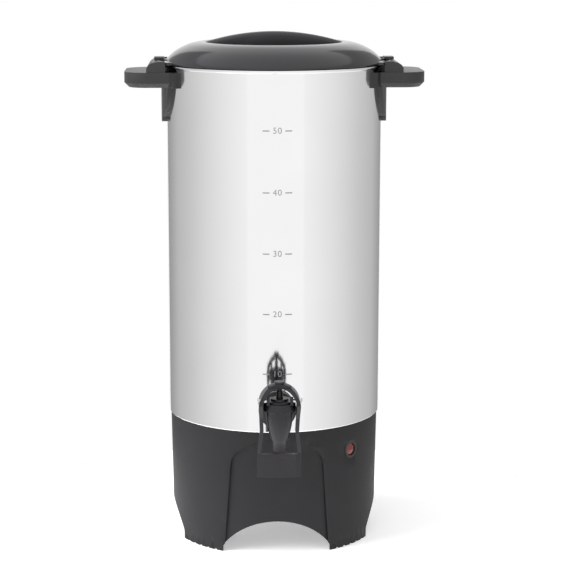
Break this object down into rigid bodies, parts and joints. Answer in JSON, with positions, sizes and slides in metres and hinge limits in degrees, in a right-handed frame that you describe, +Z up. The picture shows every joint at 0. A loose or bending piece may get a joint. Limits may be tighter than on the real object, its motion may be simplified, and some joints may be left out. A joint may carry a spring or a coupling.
{
  "type": "coffee urn",
  "caption": "Free-standing coffee urn: polished steel vessel on an arched base, twist-lock lid with a bar, side grips and a cup-trip tap.",
  "frame": {"origin": "middle of the whole urn's footprint box on the standing surface; the vessel's axis is 33.5 mm behind it", "axes": "+Z up, the tap faces -Y, the side grips lie along X"},
  "size_m": [0.2624, 0.26, 0.4517],
  "materials": {
    "polished_steel": "polished stainless steel",
    "inner_steel": "plain stainless steel",
    "element_sheath": "heat-darkened sheath",
    "zinc_steel": "zinc-plated steel",
    "bakelite": "moulded black phenolic",
    "base_plastic": "fine-textured dark grey moulding",
    "plate_paint": "black painted steel",
    "plated_brass": "nickel-plated brass",
    "lead_sleeve": "glass-braid sleeve",
    "red_lens": "clear red plastic",
    "neon_glass": "clear glass",
    "grip_plastic": "satin black moulding",
    "tap_plastic": "satin black moulding",
    "silicone": "food-grade silicone",
    "stem_plastic": "dark moulding",
    "aluminium": "spun aluminium",
    "lid_gloss": "glossy black moulding",
    "bar_plastic": "fine-textured black moulding"
  },
  "bodies": {
    "urn": {"vessel": "polished_steel", "heating_well": "inner_steel", "heating_element": "element_sheath", "element_clamp": "zinc_steel", "clamp_nut": "zinc_steel", "centre_stud": "zinc_steel", "thermostat": "bakelite", "thermostat_clip": "zinc_steel", "thermal_fuse": "inner_steel", "fuse_clip": "zinc_steel", "base_shell": "base_plastic", "base_plate": "plate_paint", "base_nut": "zinc_steel", "inlet_housing": "bakelite", "inlet_pins": "plated_brass", "live_lead": "lead_sleeve", "neutral_lead": "lead_sleeve", "lamp_lens": "red_lens", "lamp_bezel": "bakelite", "lamp_bulb": "neon_glass", "lamp_clip": "zinc_steel", "grip_right": "grip_plastic", "grip_left": "grip_plastic", "grip_screws": "inner_steel", "tap_body": "tap_plastic", "tap_washer_outer": "silicone", "tap_washer_inner": "silicone", "tap_nut": "tap_plastic", "tap_bonnet": "tap_plastic", "lever_pins": "inner_steel"},
    "lever": {"tap_lever": "tap_plastic"},
    "valve": {"valve_stem": "stem_plastic", "seat_cup": "silicone"},
    "tube": {"pump_tube": "aluminium"},
    "basket": {"coffee_basket": "aluminium"},
    "cover": {"basket_cover": "aluminium"},
    "screw": {"lid_screw": "inner_steel"},
    "lid": {"lid_dome": "lid_gloss", "lid_bar": "bar_plastic"}
  },
  "joints": [
    {"name": "lever_push", "type": "hinge", "parent": "urn", "child": "lever", "pos_m": [0, -0.1265, 0.157], "axis": [1, 0, 0], "range_deg": [0, 14], "stiffness_Nm_per_rad": 0.05, "springref_deg": -5.73},
    {"name": "valve_lift", "type": "slide", "parent": "urn", "child": "valve", "axis": [0, 0, 1], "range_m": [0, 0.0031], "stiffness_N_per_m": 1, "springref_m": 0.0173},
    {"name": "tube_lift", "type": "slide", "parent": "urn", "child": "tube", "axis": [0, 0, 1], "range_m": [0, 0.36]},
    {"name": "basket_lift", "type": "slide", "parent": "tube", "child": "basket", "axis": [0, 0, 1], "range_m": [0, 0.13]},
    {"name": "cover_lift", "type": "slide", "parent": "basket", "child": "cover", "axis": [0, 0, 1], "range_m": [0, 0.03]},
    {"name": "lid_lift", "type": "slide", "parent": "cover", "child": "screw", "axis": [0, 0, 1], "range_m": [0, 0.1]},
    {"name": "lid_turn", "type": "hinge", "parent": "screw", "child": "lid", "pos_m": [0, 0.0335, 0.43], "axis": [0, 0, -1], "range_deg": [0, 14]}
  ],
  "couplings": [
    {"joint": "valve_lift", "follows": "lever_push", "m_per_rad": 0.0125}
  ]
}
